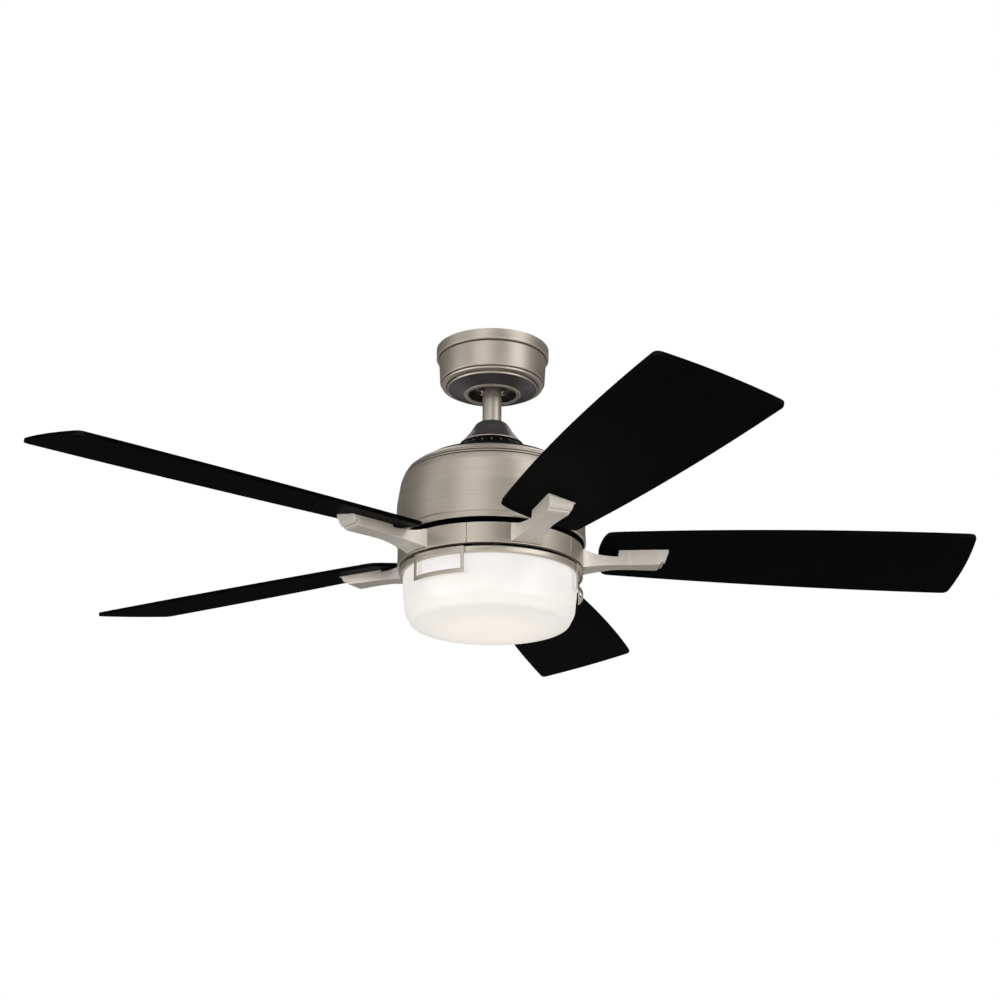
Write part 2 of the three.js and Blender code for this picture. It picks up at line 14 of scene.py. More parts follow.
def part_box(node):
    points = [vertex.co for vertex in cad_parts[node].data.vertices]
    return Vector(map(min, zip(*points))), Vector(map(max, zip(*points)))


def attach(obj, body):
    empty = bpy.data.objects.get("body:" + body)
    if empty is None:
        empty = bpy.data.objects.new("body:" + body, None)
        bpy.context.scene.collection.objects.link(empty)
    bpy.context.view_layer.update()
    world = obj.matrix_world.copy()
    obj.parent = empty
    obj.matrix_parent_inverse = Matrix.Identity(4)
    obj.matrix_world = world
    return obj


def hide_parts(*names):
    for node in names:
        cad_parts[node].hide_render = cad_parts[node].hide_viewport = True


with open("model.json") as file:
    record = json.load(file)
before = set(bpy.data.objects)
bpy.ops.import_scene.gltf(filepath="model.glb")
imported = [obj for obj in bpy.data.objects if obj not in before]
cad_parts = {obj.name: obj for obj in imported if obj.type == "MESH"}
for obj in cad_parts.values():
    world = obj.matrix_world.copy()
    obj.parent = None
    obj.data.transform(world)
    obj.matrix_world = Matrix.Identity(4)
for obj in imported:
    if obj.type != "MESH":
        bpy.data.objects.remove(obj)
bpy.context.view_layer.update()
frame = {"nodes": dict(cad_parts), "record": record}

MM = 0.001
ROUND = 160  # segments of a large round
SMALL_ROUND = 48  # segments of a screw, a pin or the rod
GAP = 0.3 * MM  # between two pieces that touch
MADE_AT = "made_at"  # mesh attribute: a point's place before its piece was turned into position

BLADES = 5
FIRST_BLADE = math.radians(2.2)
ARM_LEAD = math.radians(1.3)  # from a blade's azimuth to its arm's
BLADE_PITCH = math.radians(12.9)
BLADE_HEIGHT = -293.3 * MM  # middle of the blade, on the arm's centre line
BLADE_THICKNESS = 5.6 * MM

FRAMES = 3
FIRST_FRAME = math.radians(-124.4)
FRAME_SPAN = math.radians(37)

BALL_CENTRE = -41  # height of the hanger ball's centre, in millimetres
DOORWAY = 14.85  # half the width of the way that the rod takes into the socket, in millimetres
BAND_RADIUS = 126.5  # just past the outer face of the band below the housing, in millimetres

NICKEL = (0.60, 0.545, 0.47)
NICKEL_SHADE = (0.50, 0.45, 0.385)
CASTING = (0.88, 0.82, 0.735)
CASTING_SHADE = (0.76, 0.71, 0.64)
PAINTED_GROOVE_SHADE = (0.03, 0.027, 0.025)  # painted shade, darkening grooves and corners


# ---------------------------------------------------------------- places taken from the frame


def reach(node):
    """The outer radius of a round CAD node."""
    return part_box(node)[1].x


def top(node):
    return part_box(node)[1].z


def foot(node):
    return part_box(node)[0].z


# ---------------------------------------------------------------- node materials


class Finish:
    """A Principled material, with short calls for the nodes that feed it."""

    def __init__(self, name, **values):
        self.material = bpy.data.materials.new(name)
        self.material.use_nodes = True
        self.tree = self.material.node_tree
        self.shader = self.tree.nodes["Principled BSDF"]
        for socket, value in values.items():
            self.shader.inputs[socket.replace("_", " ")].default_value = value
        self.place = self.node("ShaderNodeTexCoord").outputs["Object"]

    def as_made(self):
        """Uses the place that each point had before its piece was turned into position."""
        self.place = self.node("ShaderNodeAttribute", attribute_name=MADE_AT).outputs["Vector"]

    def node(self, kind, inputs=None, **settings):
        made = self.tree.nodes.new(kind)
        for name, value in settings.items():
            setattr(made, name, value)
        for socket, value in (inputs or {}).items():
            if isinstance(value, bpy.types.NodeSocket):
                self.tree.links.new(value, made.inputs[socket])
            else:
                made.inputs[socket].default_value = value
        return made

    def feed(self, socket, value):
        self.tree.links.new(value, self.shader.inputs[socket])

    def math(self, operation, first, second=0.0):
        return self.node("ShaderNodeMath", {0: first, 1: second}, operation=operation).outputs[0]

    def scaled(self, x, y, z):
        """The place times a factor each way."""
        inputs = {0: self.place, 1: (x, y, z)}
        return self.node("ShaderNodeVectorMath", inputs, operation="MULTIPLY").outputs[0]

    def axes(self):
        """The place's X, Y and Z."""
        return self.node("ShaderNodeSeparateXYZ", {0: self.place}).outputs

    def radius(self, x, y):
        """Distance from the Z axis."""
        squares = [self.math("MULTIPLY", value, value) for value in (x, y)]
        return self.math("SQRT", self.math("ADD", *squares))

    def noise(self, vector, scale, detail=3.0, rough=0.55):
        inputs = {"Vector": vector, "Scale": scale, "Detail": detail, "Roughness": rough}
        return self.node("ShaderNodeTexNoise", inputs).outputs[0]

    def spread(self, value, low, high, from_low=0.3, from_high=0.7):
        """Maps a noise's usual range onto low to high."""
        inputs = {0: value, 1: from_low, 2: from_high, 3: low, 4: high}
        return self.node("ShaderNodeMapRange", inputs).outputs[0]

    def blend(self, factor, first, second):
        inputs = {0: factor}
        for index, colour in ((6, first), (7, second)):  # the Mix node's colour sockets A and B
            inputs[index] = colour if isinstance(colour, bpy.types.NodeSocket) else (*colour, 1)
        return self.node("ShaderNodeMix", inputs, data_type="RGBA").outputs[2]

    def edges(self, low=0.51, high=0.56):
        """About 1 on outer edges and 0 on flats."""
        pointed = self.node("ShaderNodeNewGeometry").outputs["Pointiness"]
        return self.spread(pointed, 0.0, 1.0, low, high)

    def grooves(self, distance, low=0.45, high=0.85):
        """About 1 deep in grooves and corners, and 0 on open surfaces."""
        inputs = {"Distance": distance}
        around = self.node("ShaderNodeAmbientOcclusion", inputs, samples=6, only_local=True)
        return self.spread(around.outputs["AO"], 1.0, 0.0, low, high)

    def bump(self, height, depth, strength, under=None):
        inputs = {"Height": height, "Distance": depth, "Strength": strength}
        if under is not None:
            inputs["Normal"] = under
        return self.node("ShaderNodeBump", inputs).outputs[0]


def turned_lines(finish):
    """Brush lines that run round the Z axis, on walls and on faces alike."""
    x, y, z = finish.axes()
    lift = finish.math("SUBTRACT", z, finish.math("MULTIPLY", finish.radius(x, y), 0.7))
    stretched = finish.math("MULTIPLY", lift, 90.0)
    return finish.node("ShaderNodeCombineXYZ", {0: x, 1: y, 2: stretched}).outputs[0]


def round_tangent(finish):
    """The direction round the fan's axis, for brushing that a lathe made."""
    x, y, _ = finish.axes()
    inputs = {0: finish.math("MULTIPLY", y, -1.0), 1: x, 2: 0.0}
    way = finish.node("ShaderNodeCombineXYZ", inputs).outputs[0]
    turn = finish.node("ShaderNodeVectorTransform", {0: way}, vector_type="VECTOR")
    turn.convert_from = "OBJECT"
    turn.convert_to = "WORLD"
    return turn.outputs[0]


def nickel(name, metallic, roughness, turned, anisotropic=0.0):
    """Satin brushed nickel, brushed round the axis by a lathe or lengthwise on a casting."""
    base, shade = (NICKEL, NICKEL_SHADE) if turned else (CASTING, CASTING_SHADE)
    finish = Finish(name, Metallic=metallic, Anisotropic=anisotropic)
    if turned:
        along = turned_lines(finish)
        finish.feed("Tangent", round_tangent(finish))
    else:
        finish.as_made()
        along = finish.scaled(1.6, 80.0, 80.0)
    fine = finish.noise(along, 22.0, 4.0, 0.6)
    coarse = finish.noise(along, 4.0, 2.0)
    clouds = finish.noise(finish.place, 16.0, 3.0)
    parts = (finish.math("MULTIPLY", fine, 0.6), finish.math("MULTIPLY", coarse, 0.4))
    lined = finish.math("ADD", *parts)
    tone = finish.blend(finish.spread(lined, 0.0, 1.0, 0.35, 0.65), shade, base)
    warm = tuple(channel * factor for channel, factor in zip(base, (1.03, 0.98, 0.92)))
    tone = finish.blend(finish.spread(clouds, 0.0, 0.35), tone, warm)
    # Painted highlight: outer edges are lightened towards a brighter nickel.
    edge_highlight = tuple(min(1.0, channel * 1.18) for channel in base)
    tone = finish.blend(finish.math("MULTIPLY", finish.edges(), 0.5), tone, edge_highlight)
    # Painted shade: grooves and corners are darkened by ambient occlusion.
    tone = finish.blend(finish.math("MULTIPLY", finish.grooves(2 * MM), 0.93), tone, PAINTED_GROOVE_SHADE)
    finish.feed("Base Color", tone)
    brushed = finish.spread(fine, roughness - 0.06, roughness + 0.07)
    finish.feed("Roughness", finish.math("ADD", brushed, finish.spread(clouds, -0.02, 0.03)))
    finish.feed("Normal", finish.bump(fine, 0.03 * MM, 0.35))
    return finish.material


def gunmetal():
    """Dark bronze paint with a metallic sheen, for the trim dish and the coupling cover."""
    finish = Finish("dark_bronze", Metallic=0.85, Anisotropic=0.4)
    fine = finish.noise(turned_lines(finish), 20.0, 3.0)
    clouds = finish.noise(finish.place, 40.0, 3.0)
    tone = finish.blend(finish.spread(clouds, 0.0, 1.0), (0.15, 0.136, 0.146), (0.21, 0.192, 0.202))
    finish.feed("Base Color", tone)
    finish.feed("Roughness", finish.spread(fine, 0.34, 0.46))
    finish.feed("Normal", finish.bump(fine, 0.02 * MM, 0.3))
    return finish.material


def black_paint():
    """Matt black paint with a fine texture, and a painted highlight on its edges."""
    finish = Finish("black_paint", Metallic=0.0)
    finish.shader.inputs["Specular IOR Level"].default_value = 0.1
    finish.shader.inputs["IOR"].default_value = 1.15
    grain = finish.noise(finish.place, 1400.0, 2.0)
    clouds = finish.noise(finish.place, 35.0, 3.0)
    tone = finish.blend(finish.spread(clouds, 0.0, 1.0), (0.003, 0.003, 0.0035), (0.007, 0.0065, 0.007))
    # Painted highlight: outer edges are lightened to a dark grey.
    tone = finish.blend(finish.math("MULTIPLY", finish.edges(), 0.5), tone, (0.06, 0.058, 0.058))
    finish.feed("Base Color", tone)
    finish.feed("Roughness", finish.spread(clouds, 0.42, 0.56))
    finish.feed("Normal", finish.bump(grain, 0.05 * MM, 0.35))
    return finish.material


def blade_black():
    """Satin black laminate with a faint open grain along the blade."""
    finish = Finish("blade_black", Metallic=0.0)
    finish.as_made()
    finish.shader.inputs["Specular IOR Level"].default_value = 0.1
    finish.shader.inputs["IOR"].default_value = 1.1
    grain = finish.noise(finish.scaled(1.0, 22.0, 22.0), 26.0, 5.0, 0.62)
    pores = finish.noise(finish.scaled(1.0, 30.0, 30.0), 70.0, 2.0)
    clouds = finish.noise(finish.place, 7.0, 3.0)
    tone = finish.blend(finish.spread(grain, 0.0, 1.0), (0.001, 0.001, 0.0012), (0.003, 0.003, 0.0031))
    # Painted highlight: the rounded edges are lightened to a dark grey sheen.
    tone = finish.blend(finish.math("MULTIPLY", finish.edges(0.52, 0.6), 0.7), tone, (0.055, 0.054, 0.056))
    finish.feed("Base Color", tone)
    varied = finish.math("ADD", finish.spread(grain, 0.40, 0.52), finish.spread(clouds, -0.03, 0.03))
    finish.feed("Roughness", varied)
    pitted = finish.bump(pores, 0.04 * MM, 0.3)
    finish.feed("Normal", finish.bump(grain, 0.06 * MM, 0.35, pitted))
    return finish.material


def opal_glass():
    """White cased glass, etched outside, with the light of the lamp inside painted on as a glow, brightest
    low in the middle.
    """
    finish = Finish("opal_glass", Roughness=0.3)
    finish.shader.inputs["Specular IOR Level"].default_value = 0.4
    x, y, z = finish.axes()
    # Painted light: emission in place of the lamp inside, stronger low down and towards the middle.
    fall = finish.spread(z, 1.0, 0.0, foot("glass_shade"), top("glass_shade"))
    middle = finish.spread(finish.radius(x, y), 1.0, 0.0, 50 * MM, 117 * MM)
    painted_glow = finish.math("ADD", finish.math("MULTIPLY", fall, 0.35), finish.math("MULTIPLY", middle, 0.65))
    clouds = finish.noise(finish.place, 22.0, 2.0)
    painted_glow = finish.math("ADD", painted_glow, finish.spread(clouds, -0.05, 0.05))
    tone = finish.blend(finish.spread(clouds, 0.0, 1.0), (0.44, 0.435, 0.42), (0.48, 0.475, 0.46))
    finish.feed("Base Color", tone)
    finish.feed("Emission Color", finish.blend(painted_glow, (1.0, 0.965, 0.945), (1.0, 0.955, 0.86)))
    finish.feed("Emission Strength", finish.spread(painted_glow, 0.55, 0.80, 0.0, 1.0))
    etched = finish.noise(finish.place, 900.0, 2.0)
    finish.feed("Roughness", finish.spread(etched, 0.26, 0.36))
    finish.feed("Normal", finish.bump(etched, 0.02 * MM, 0.25))
    return finish.material


def plain_steel(name, base, shade, roughness, grain_scale, spangle=0.0):
    """Bare or zinc-plated steel: machining marks, and spangle where it is plated."""
    finish = Finish(name, Metallic=1.0)
    grain = finish.noise(finish.scaled(1.0, 1.0, 6.0), grain_scale, 4.0)
    cells = finish.node("ShaderNodeTexVoronoi", {"Vector": finish.place, "Scale": 160.0}).outputs[1]
    tone = finish.blend(finish.spread(grain, 0.0, 1.0), shade, base)
    inputs = {0: spangle, 6: tone, 7: cells}
    plating = finish.node("ShaderNodeMix", inputs, data_type="RGBA", blend_type="SOFT_LIGHT")
    # Outer edges are drawn lighter than the flats.
    lighter_edge = tuple(min(1.0, channel * 1.3) for channel in base)
    tone = finish.blend(finish.math("MULTIPLY", finish.edges(), 0.5), plating.outputs[2], lighter_edge)
    finish.feed("Base Color", tone)
    finish.feed("Roughness", finish.spread(grain, roughness - 0.07, roughness + 0.1))
    finish.feed("Normal", finish.bump(grain, 0.04 * MM, 0.4))
    return finish.material


def moulded(name, base, shade, roughness, grain_scale=700.0):
    """Moulded plastic or sprayed paint with a fine texture."""
    finish = Finish(name, Metallic=0.0)
    grain = finish.noise(finish.place, grain_scale, 3.0)
    clouds = finish.noise(finish.place, 30.0, 3.0)
    tone = finish.blend(finish.spread(clouds, 0.0, 1.0), shade, base)
    finish.feed("Base Color", tone)
    finish.feed("Roughness", finish.spread(clouds, roughness - 0.06, roughness + 0.06))
    finish.feed("Normal", finish.bump(grain, 0.08 * MM, 0.4))
    return finish.material


def copper():
    """Enamelled wire, wound side by side."""
    finish = Finish("copper", Metallic=0.9)
    inputs = {"Vector": finish.place, "Scale": 260.0, "Distortion": 1.5}
    height = finish.node("ShaderNodeTexWave", inputs, bands_direction="Z").outputs[1]
    finish.feed("Base Color", finish.blend(height, (0.22, 0.09, 0.035), (0.62, 0.30, 0.12)))
    finish.feed("Roughness", finish.spread(height, 0.5, 0.3, 0.0, 1.0))
    finish.feed("Normal", finish.bump(height, 0.3 * MM, 0.6))
    return finish.material


materials = {
    "brushed_nickel": nickel("brushed_nickel", 0.8, 0.4, turned=True, anisotropic=0.5),
    "nickel_casting": nickel("nickel_casting", 0.35, 0.48, turned=False),
    "dark_bronze": gunmetal(),
    "black_paint": black_paint(),
    "blade_black": blade_black(),
    "opal_glass": opal_glass(),
    "zinc_steel": plain_steel("zinc_steel", (0.62, 0.63, 0.64), (0.50, 0.51, 0.52), 0.4, 90.0, 0.35),
    "raw_steel": plain_steel("raw_steel", (0.42, 0.42, 0.43), (0.30, 0.30, 0.31), 0.42, 240.0),
    "aluminium": plain_steel("aluminium", (0.72, 0.73, 0.74), (0.60, 0.61, 0.62), 0.45, 320.0),
    "nylon": moulded("nylon", (0.74, 0.71, 0.63), (0.66, 0.63, 0.56), 0.5),
    "black_plastic": moulded("black_plastic", (0.016, 0.016, 0.017), (0.010, 0.010, 0.011), 0.48),
    "white_paint": moulded("white_paint", (0.80, 0.80, 0.78), (0.74, 0.74, 0.72), 0.5, 420.0),
    "copper": copper(),
}


# ---------------------------------------------------------------- mesh helpers


def shaded(mesh, angle):
    """Smooth shading, with edges sharper than the angle kept crisp."""
    mesh.shade_smooth()
    mesh.set_sharp_from_angle(angle=math.radians(angle))
    return mesh


def mesh_from(name, points, faces):
    mesh = bpy.data.meshes.new(name)
    mesh.from_pydata(points, [], faces)
    work = bmesh.new()
    work.from_mesh(mesh)
    bmesh.ops.recalc_face_normals(work, faces=work.faces)
    work.to_mesh(mesh)
    work.free()
    return mesh


def object_of(name, mesh):
    made = bpy.data.objects.new(name, mesh)
    bpy.context.scene.collection.objects.link(made)
    return made


def rounded(corners, steps=5):
    """A closed outline in metres, from (r, z) or (r, z, fillet) corners in millimetres."""
    outline = []
    for index, corner in enumerate(corners):
        here = Vector(corner[:2])
        if len(corner) == 2:
            outline.append(here * MM)
            continue
        back = Vector(corners[index - 1][:2]) - here
        ahead = Vector(corners[(index + 1) % len(corners)][:2]) - here
        setback = corner[2] / math.tan(back.angle(ahead) / 2)
        start = here + back.normalized() * min(setback, back.length * 0.49)
        end = here + ahead.normalized() * min(setback, ahead.length * 0.49)
        for step in range(steps + 1):
            t = step / steps
            point = start * (1 - t) ** 2 + here * 2 * t * (1 - t) + end * t * t
            outline.append(point * MM)
    return outline


def revolved_mesh(name, corners, segments=ROUND, steps=5):
    """A closed body of revolution about Z from a closed outline. Corners on the axis close it."""
    outline = rounded(corners, steps)
    points = []
    rings = []
    for r, z in outline:
        if r < 1e-7:
            rings.append([len(points)] * segments)
            points.append((0, 0, z))
            continue
        rings.append(list(range(len(points), len(points) + segments)))
        for step in range(segments):
            angle = 2 * math.pi * step / segments
            points.append((r * math.cos(angle), r * math.sin(angle), z))
    faces = []
    for low, high in zip(rings, rings[1:] + rings[:1]):
        if low[0] == low[1] and high[0] == high[1]:
            continue
        for step in range(segments):
            ahead = (step + 1) % segments
            face = [low[step], low[ahead], high[ahead], high[step]]
            faces.append(list(dict.fromkeys(face)))
    return mesh_from(name, points, faces)


def with_modifiers(source):
    """The mesh that an object's modifiers make. The object is removed."""
    graph = bpy.context.evaluated_depsgraph_get()
    mesh = bpy.data.meshes.new_from_object(source.evaluated_get(graph))
    bpy.data.objects.remove(source)
    return mesh


def beveled(mesh, width, segments=3, angle=30):
    work = object_of("work", mesh)
    bevel = work.modifiers.new("bevel", "BEVEL")
    bevel.width = width
    bevel.segments = segments
    bevel.limit_method = "ANGLE"
    bevel.angle_limit = math.radians(angle)
    bevel.use_clamp_overlap = True
    return with_modifiers(work)


def combined(mesh, other, operation):
    """Two closed meshes joined or cut, by an exact boolean."""
    work = object_of("work", mesh)
    tool = object_of("tool", other)
    step = work.modifiers.new("combine", "BOOLEAN")
    step.operation = operation
    step.solver = "EXACT"
    step.object = tool
    result = with_modifiers(work)
    bpy.data.objects.remove(tool)
    return result


def box_mesh(low, high):
    """A closed box between two corners, in millimetres."""
    work = bmesh.new()
    bmesh.ops.create_cube(work, size=1)
    size = [b - a for a, b in zip(low, high)]
    middle = [(a + b) / 2 for a, b in zip(low, high)]
    for vertex in work.verts:
        vertex.co = Vector(c + v * s for c, v, s in zip(middle, vertex.co, size)) * MM
    mesh = bpy.data.meshes.new("box")
    work.to_mesh(mesh)
    work.free()
    return mesh


def plate_mesh(outline, low, high):
    """A closed flat plate from an outline of (x, y) points, between two heights, in metres."""
    count = len(outline)
    points = [(x, y, z) for z in (low, high) for x, y in outline]
    faces = [list(range(count)), list(range(count, 2 * count))]
    for index in range(count):
        ahead = (index + 1) % count
        faces.append([index, ahead, count + ahead, count + index])
    return mesh_from("plate", points, faces)


def loft_mesh(sections):
    """A closed body through sections of (x, y, z) points, which all have the same count."""
    count = len(sections[0])
    points = [point for section in sections for point in section]
    last = count * (len(sections) - 1)
    faces = [list(range(count)), list(range(last, last + count))]
    for start in range(0, last, count):
        for index in range(count):
            ahead = (index + 1) % count
            faces.append([start + index, start + ahead, start + ahead + count, start + index + count])
    return mesh_from("loft", points, faces)


def repeated(mesh, count, start):
    """One mesh that holds copies of a mesh, spaced evenly round Z."""
    work = bmesh.new()
    for index in range(count):
        copy = mesh.copy()
        copy.transform(Matrix.Rotation(start + index * 2 * math.pi / count, 4, "Z"))
        work.from_mesh(copy)
    result = bpy.data.meshes.new("copies")
    work.to_mesh(result)
    work.free()
    return result


def piece(name, mesh, body, slot, nodes, matrix=None, angle=32, flat=False):
    """A finished piece: its mesh, material, place and body, and the CAD nodes it stands for.

    A matrix turns a mesh that was made along X into position. A piece with flat faces keeps
    them flat up to its rounded edges.
    """
    if matrix is not None:
        places = mesh.attributes.new(MADE_AT, "FLOAT_VECTOR", "POINT")
        places.data.foreach_set("vector", [c for vertex in mesh.vertices for c in vertex.co])
        mesh.transform(matrix)
    made = object_of(name, shaded(mesh, angle))
    if flat:
        weighted = made.modifiers.new("weighted", "WEIGHTED_NORMAL")
        weighted.keep_sharp = True
    mesh.materials.clear()
    mesh.materials.append(materials[slot])
    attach(made, body)
    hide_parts(*nodes)
    return made


def plated(made, chosen, slot="brushed_nickel"):
    """Gives a second finish to the faces that chosen(radius, height, normal) picks.

    The radius and height of a face's middle are in millimetres.
    """
    made.data.materials.append(materials[slot])
    for face in made.data.polygons:
        if chosen(face.center.xy.length / MM, face.center.z / MM, face.normal):
            face.material_index = 1


# ---------------------------------------------------------------- canopy and hanger


def make_canopy():
    """The cup, from its rim against the ceiling, with a groove under the rim and one near its foot."""
    radius = reach("canopy") / MM
    low = foot("canopy") / MM
    mouth = 34
    corners = [
        (radius - 1.2, -0.3, 0.4), (radius, -0.3, 0.5), (radius, -14.8, 0.9),
        (radius - 1.4, -15.8, 0.4), (radius - 4.6, -15.2, 0.2), (radius - 4.6, -16.1, 0.2),
        (radius - 3.8, -17, 0.6),
        (73.6, -50.6, 1.5), (72.5, -52.1, 0.5), (70.4, -52.5, 0.2), (70.4, -53.4, 0.2),
        (71.9, -53.8, 0.7), (70.6, -56.2, 1.6), (66.2, low, 0.9), (64.8, low + 0.2, 0.3),
        (64.6, low + 1.4, 0.2), (mouth, low + 1.4, 0.4), (mouth, low + 2.4, 0.3),
        (65.8, low + 2.4, 1), (68.8, -51.6, 1), (72.8, -15.2, 1), (radius - 1.2, -12.8, 0.6),
    ]
    shell = revolved_mesh("canopy", corners)
    piece("canopy_shell", shell, "ceiling", "brushed_nickel", ["canopy"])


def make_trim_ring():
    """The dish under the canopy. Its outer edge and the rolled lip round the rod are bare nickel."""
    seat = top("canopy_trim_ring") / MM
    lip = 40  # outer radius of the rolled lip
    edge = 61.6  # inner radius of the outer edge
    corners = [
        (61, seat, 0.3), (63.4, seat, 0.3), (63.4, -58.6, 0.4), (62.6, -60.3, 1.1), (60.6, -60.2, 0.3),
        (50, -64, 12), (40.4, -67.0, 1.5), (38.6, -68.9, 0.9), (35.6, -69.1, 1.3),
        (33.6, -67.6, 0.8), (34.4, -66.4, 0.5), (37.6, -66.0, 1), (49.6, -63.2, 12), (62, -58.6, 2),
    ]
    dish = revolved_mesh("trim", corners)
    trim = piece("canopy_trim", dish, "ceiling", "dark_bronze", ["canopy_trim_ring"])
    plated(trim, lambda radius, height, normal: radius < lip or radius > edge)


def screw_mesh(head, neck, length, height):
    """A pan-head screw along Z with a cross recess. The underside of its head is at zero height."""
    corners = [
        (0, -length), (neck - 0.4, -length, 0.3), (neck, -length + 0.6, 0.2), (neck, 0),
        (head, 0, 0.3), (head, height * 0.45, height * 0.4), (head * 0.55, height, 1.2), (0, height),
    ]
    body = revolved_mesh("screw", corners, SMALL_ROUND, 3)
    arm = head * 0.55
    slot_width = head * 0.11
    for half_x, half_y in ((arm, slot_width), (slot_width, arm)):
        tool = box_mesh((-half_x, -half_y, height * 0.45), (half_x, half_y, height + 1))
        body = combined(body, tool, "DIFFERENCE")
    return body


def make_canopy_screws():
    seat = top("canopy_trim_ring")
    head_down = Matrix.Rotation(math.pi, 4, "X")
    for index in (1, 2):
        node = f"canopy_screw_{index}"
        low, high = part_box(node)
        mesh = screw_mesh(head=4.1, neck=2.0, length=(high.z - seat) / MM, height=3.0)
        place = Matrix.Translation(((low.x + high.x) / 2, 0, seat)) @ head_down
        piece(f"canopy_fixing_{index}", mesh, "ceiling", "raw_steel", [node], place)


def make_bracket():
    """The folded steel hanger with its rounded bends, slots and socket."""
    low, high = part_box("hanger_bracket")
    half = high.y / MM
    floor = low.z / MM
    steel = 2.5
    top_half = 48
    foot_half = high.x / MM
    collar_radius = 31
    collar_top = -38
    socket = 27.1
    slot_middle = 36

    def folded(half_length, bottom, upper, bend):
        corners = [
            (-half_length, bottom, bend), (half_length, bottom, bend),
            (half_length, upper, bend), (-half_length, upper, bend),
        ]
        return rounded(corners)

    def across(outline):
        mesh = plate_mesh(outline, -half * MM, half * MM)
        mesh.transform(Matrix.Rotation(math.pi / 2, 4, "X"))
        return mesh

    outer = across(folded(top_half, floor, 0, 4))
    inner = across(folded(top_half - steel, floor + steel, -steel, 2))
    inner.transform(Matrix.Diagonal((1, 1.2, 1, 1)))  # so that it cuts right through
    body = combined(outer, inner, "DIFFERENCE")
    ears = box_mesh((-foot_half, -half, floor), (foot_half, half, floor + steel))
    body = combined(body, beveled(ears, 2.0 * MM, 4, 80), "UNION")
    profile = [
        (0, floor), (collar_radius, floor, 1), (collar_radius, collar_top, 1.5), (0, collar_top),
    ]
    collar = revolved_mesh("collar", profile, 96)
    body = combined(body, collar, "UNION")
    bowl = [(0, BALL_CENTRE - socket)]
    for step in range(1, 24):
        angle = math.pi * step / 24 - math.pi / 2
        bowl.append((socket * math.cos(angle), BALL_CENTRE + socket * math.sin(angle)))
    bowl.append((0, BALL_CENTRE + socket))
    body = combined(body, revolved_mesh("bowl", bowl, 96), "DIFFERENCE")
    doorway = box_mesh((-DOORWAY, 0, floor - 1), (DOORWAY, 36, -20))
    body = combined(body, doorway, "DIFFERENCE")
    for middle in (-slot_middle, slot_middle):
        slot = box_mesh((middle - 6, -2.5, -6), (middle + 6, 2.5, 2))
        body = combined(body, beveled(slot, 2.4 * MM, 5, 80), "DIFFERENCE")
    piece("hanger", body, "ceiling", "zinc_steel", ["hanger_bracket"], flat=True)


def make_receiver():
    """A case and its lid, with a fine seam between them."""
    low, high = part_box("receiver")
    seam = -6.5

    def block(inset, under, upper):
        start = (low.x / MM + inset, low.y / MM + inset, under)
        end = (high.x / MM - inset, high.y / MM - inset, upper)
        return box_mesh(start, end)

    body = beveled(block(0, -17, seam - 0.4), 1.6 * MM, 4)
    lid = beveled(block(0.4, seam, -2.8), 1.2 * MM, 4)
    case = combined(body, lid, "UNION")
    case = combined(case, block(1, seam - 1, seam + 1), "UNION")
    piece("receiver_case", case, "ceiling", "black_plastic", ["receiver"], flat=True)


def make_ball():
    """The ball with its locating groove, and the nylon liner that it turns in."""
    ball = 24
    under, upper = -17, 14  # the ball's flats, from its centre
    bore = 13.65
    liner_outer, liner_inner = 26.3, 24.3
    liner_under, liner_upper = -14.3, -1

    def zone(radius, low, high, steps=20):
        """The outline of a sphere between two heights from its centre."""
        points = []
        for step in range(steps + 1):
            z = low + (high - low) * step / steps
            points.append((math.sqrt(radius * radius - z * z), BALL_CENTRE + z))
        return points

    profile = zone(ball, under, upper) + [(bore, BALL_CENTRE + upper), (bore, BALL_CENTRE + under)]
    body = revolved_mesh("ball", profile, 96)
    groove = box_mesh((-3, -30, -70), (3, -20.5, -20))
    body = combined(body, groove, "DIFFERENCE")
    piece("hanger_globe", body, "hanging", "black_plastic", ["hanger_ball"])

    outside = zone(liner_outer, liner_under, liner_upper)
    inside = zone(liner_inner, liner_under, liner_upper)
    liner = revolved_mesh("liner", outside + inside[::-1], 96)
    doorway = box_mesh((-DOORWAY, 0, -70), (DOORWAY, 40, -20))
    liner = combined(liner, doorway, "DIFFERENCE")
    key_way = box_mesh((-3.5, -40, -50), (3.5, 0, -20))
    liner = combined(liner, key_way, "DIFFERENCE")
    piece("ball_liner", liner, "seat", "nylon", ["ball_seat"])


# ---------------------------------------------------------------- rod, cover, cap and housing


def make_downrod():
    radius = reach("downrod") / MM
    low, high = foot("downrod") / MM, top("downrod") / MM
    bore = 10.5
    corners = [(bore, low, 0.4), (radius, low, 0.6), (radius, high, 0.6), (bore, high, 0.4)]
    tube = revolved_mesh("rod", corners, 96)
    piece("rod_tube", tube, "hanging", "brushed_nickel", ["downrod"])


def make_cover():
    """The dark bell over the rod's lower joint. Its lowest edge is bare nickel."""
    rim = reach("coupling_cover") / MM
    low, high = foot("coupling_cover") / MM, top("coupling_cover") / MM
    bore = 13.95
    corners = [
        (bore, high - 0.2, 0.3), (19.6, high, 2.6), (23.2, -114.8, 1.5), (30.6, -127.4, 14),
        (rim - 1.8, low + 2.2, 3), (rim, low + 1.2, 0.5), (rim, low, 0.4),
        (rim - 1.3, low, 0.3), (rim - 2.6, low + 2.4, 2),
        (29.2, -128, 14), (22, -115.8, 1.5), (19.2, -113.6, 1), (bore, -113.6, 0.3),
    ]
    bell = revolved_mesh("bell", corners)
    cover = piece("cover_bell", bell, "hanging", "dark_bronze", ["coupling_cover"])
    bare_edge = low + 1.3
    plated(cover, lambda radius, height, normal: height < bare_edge)


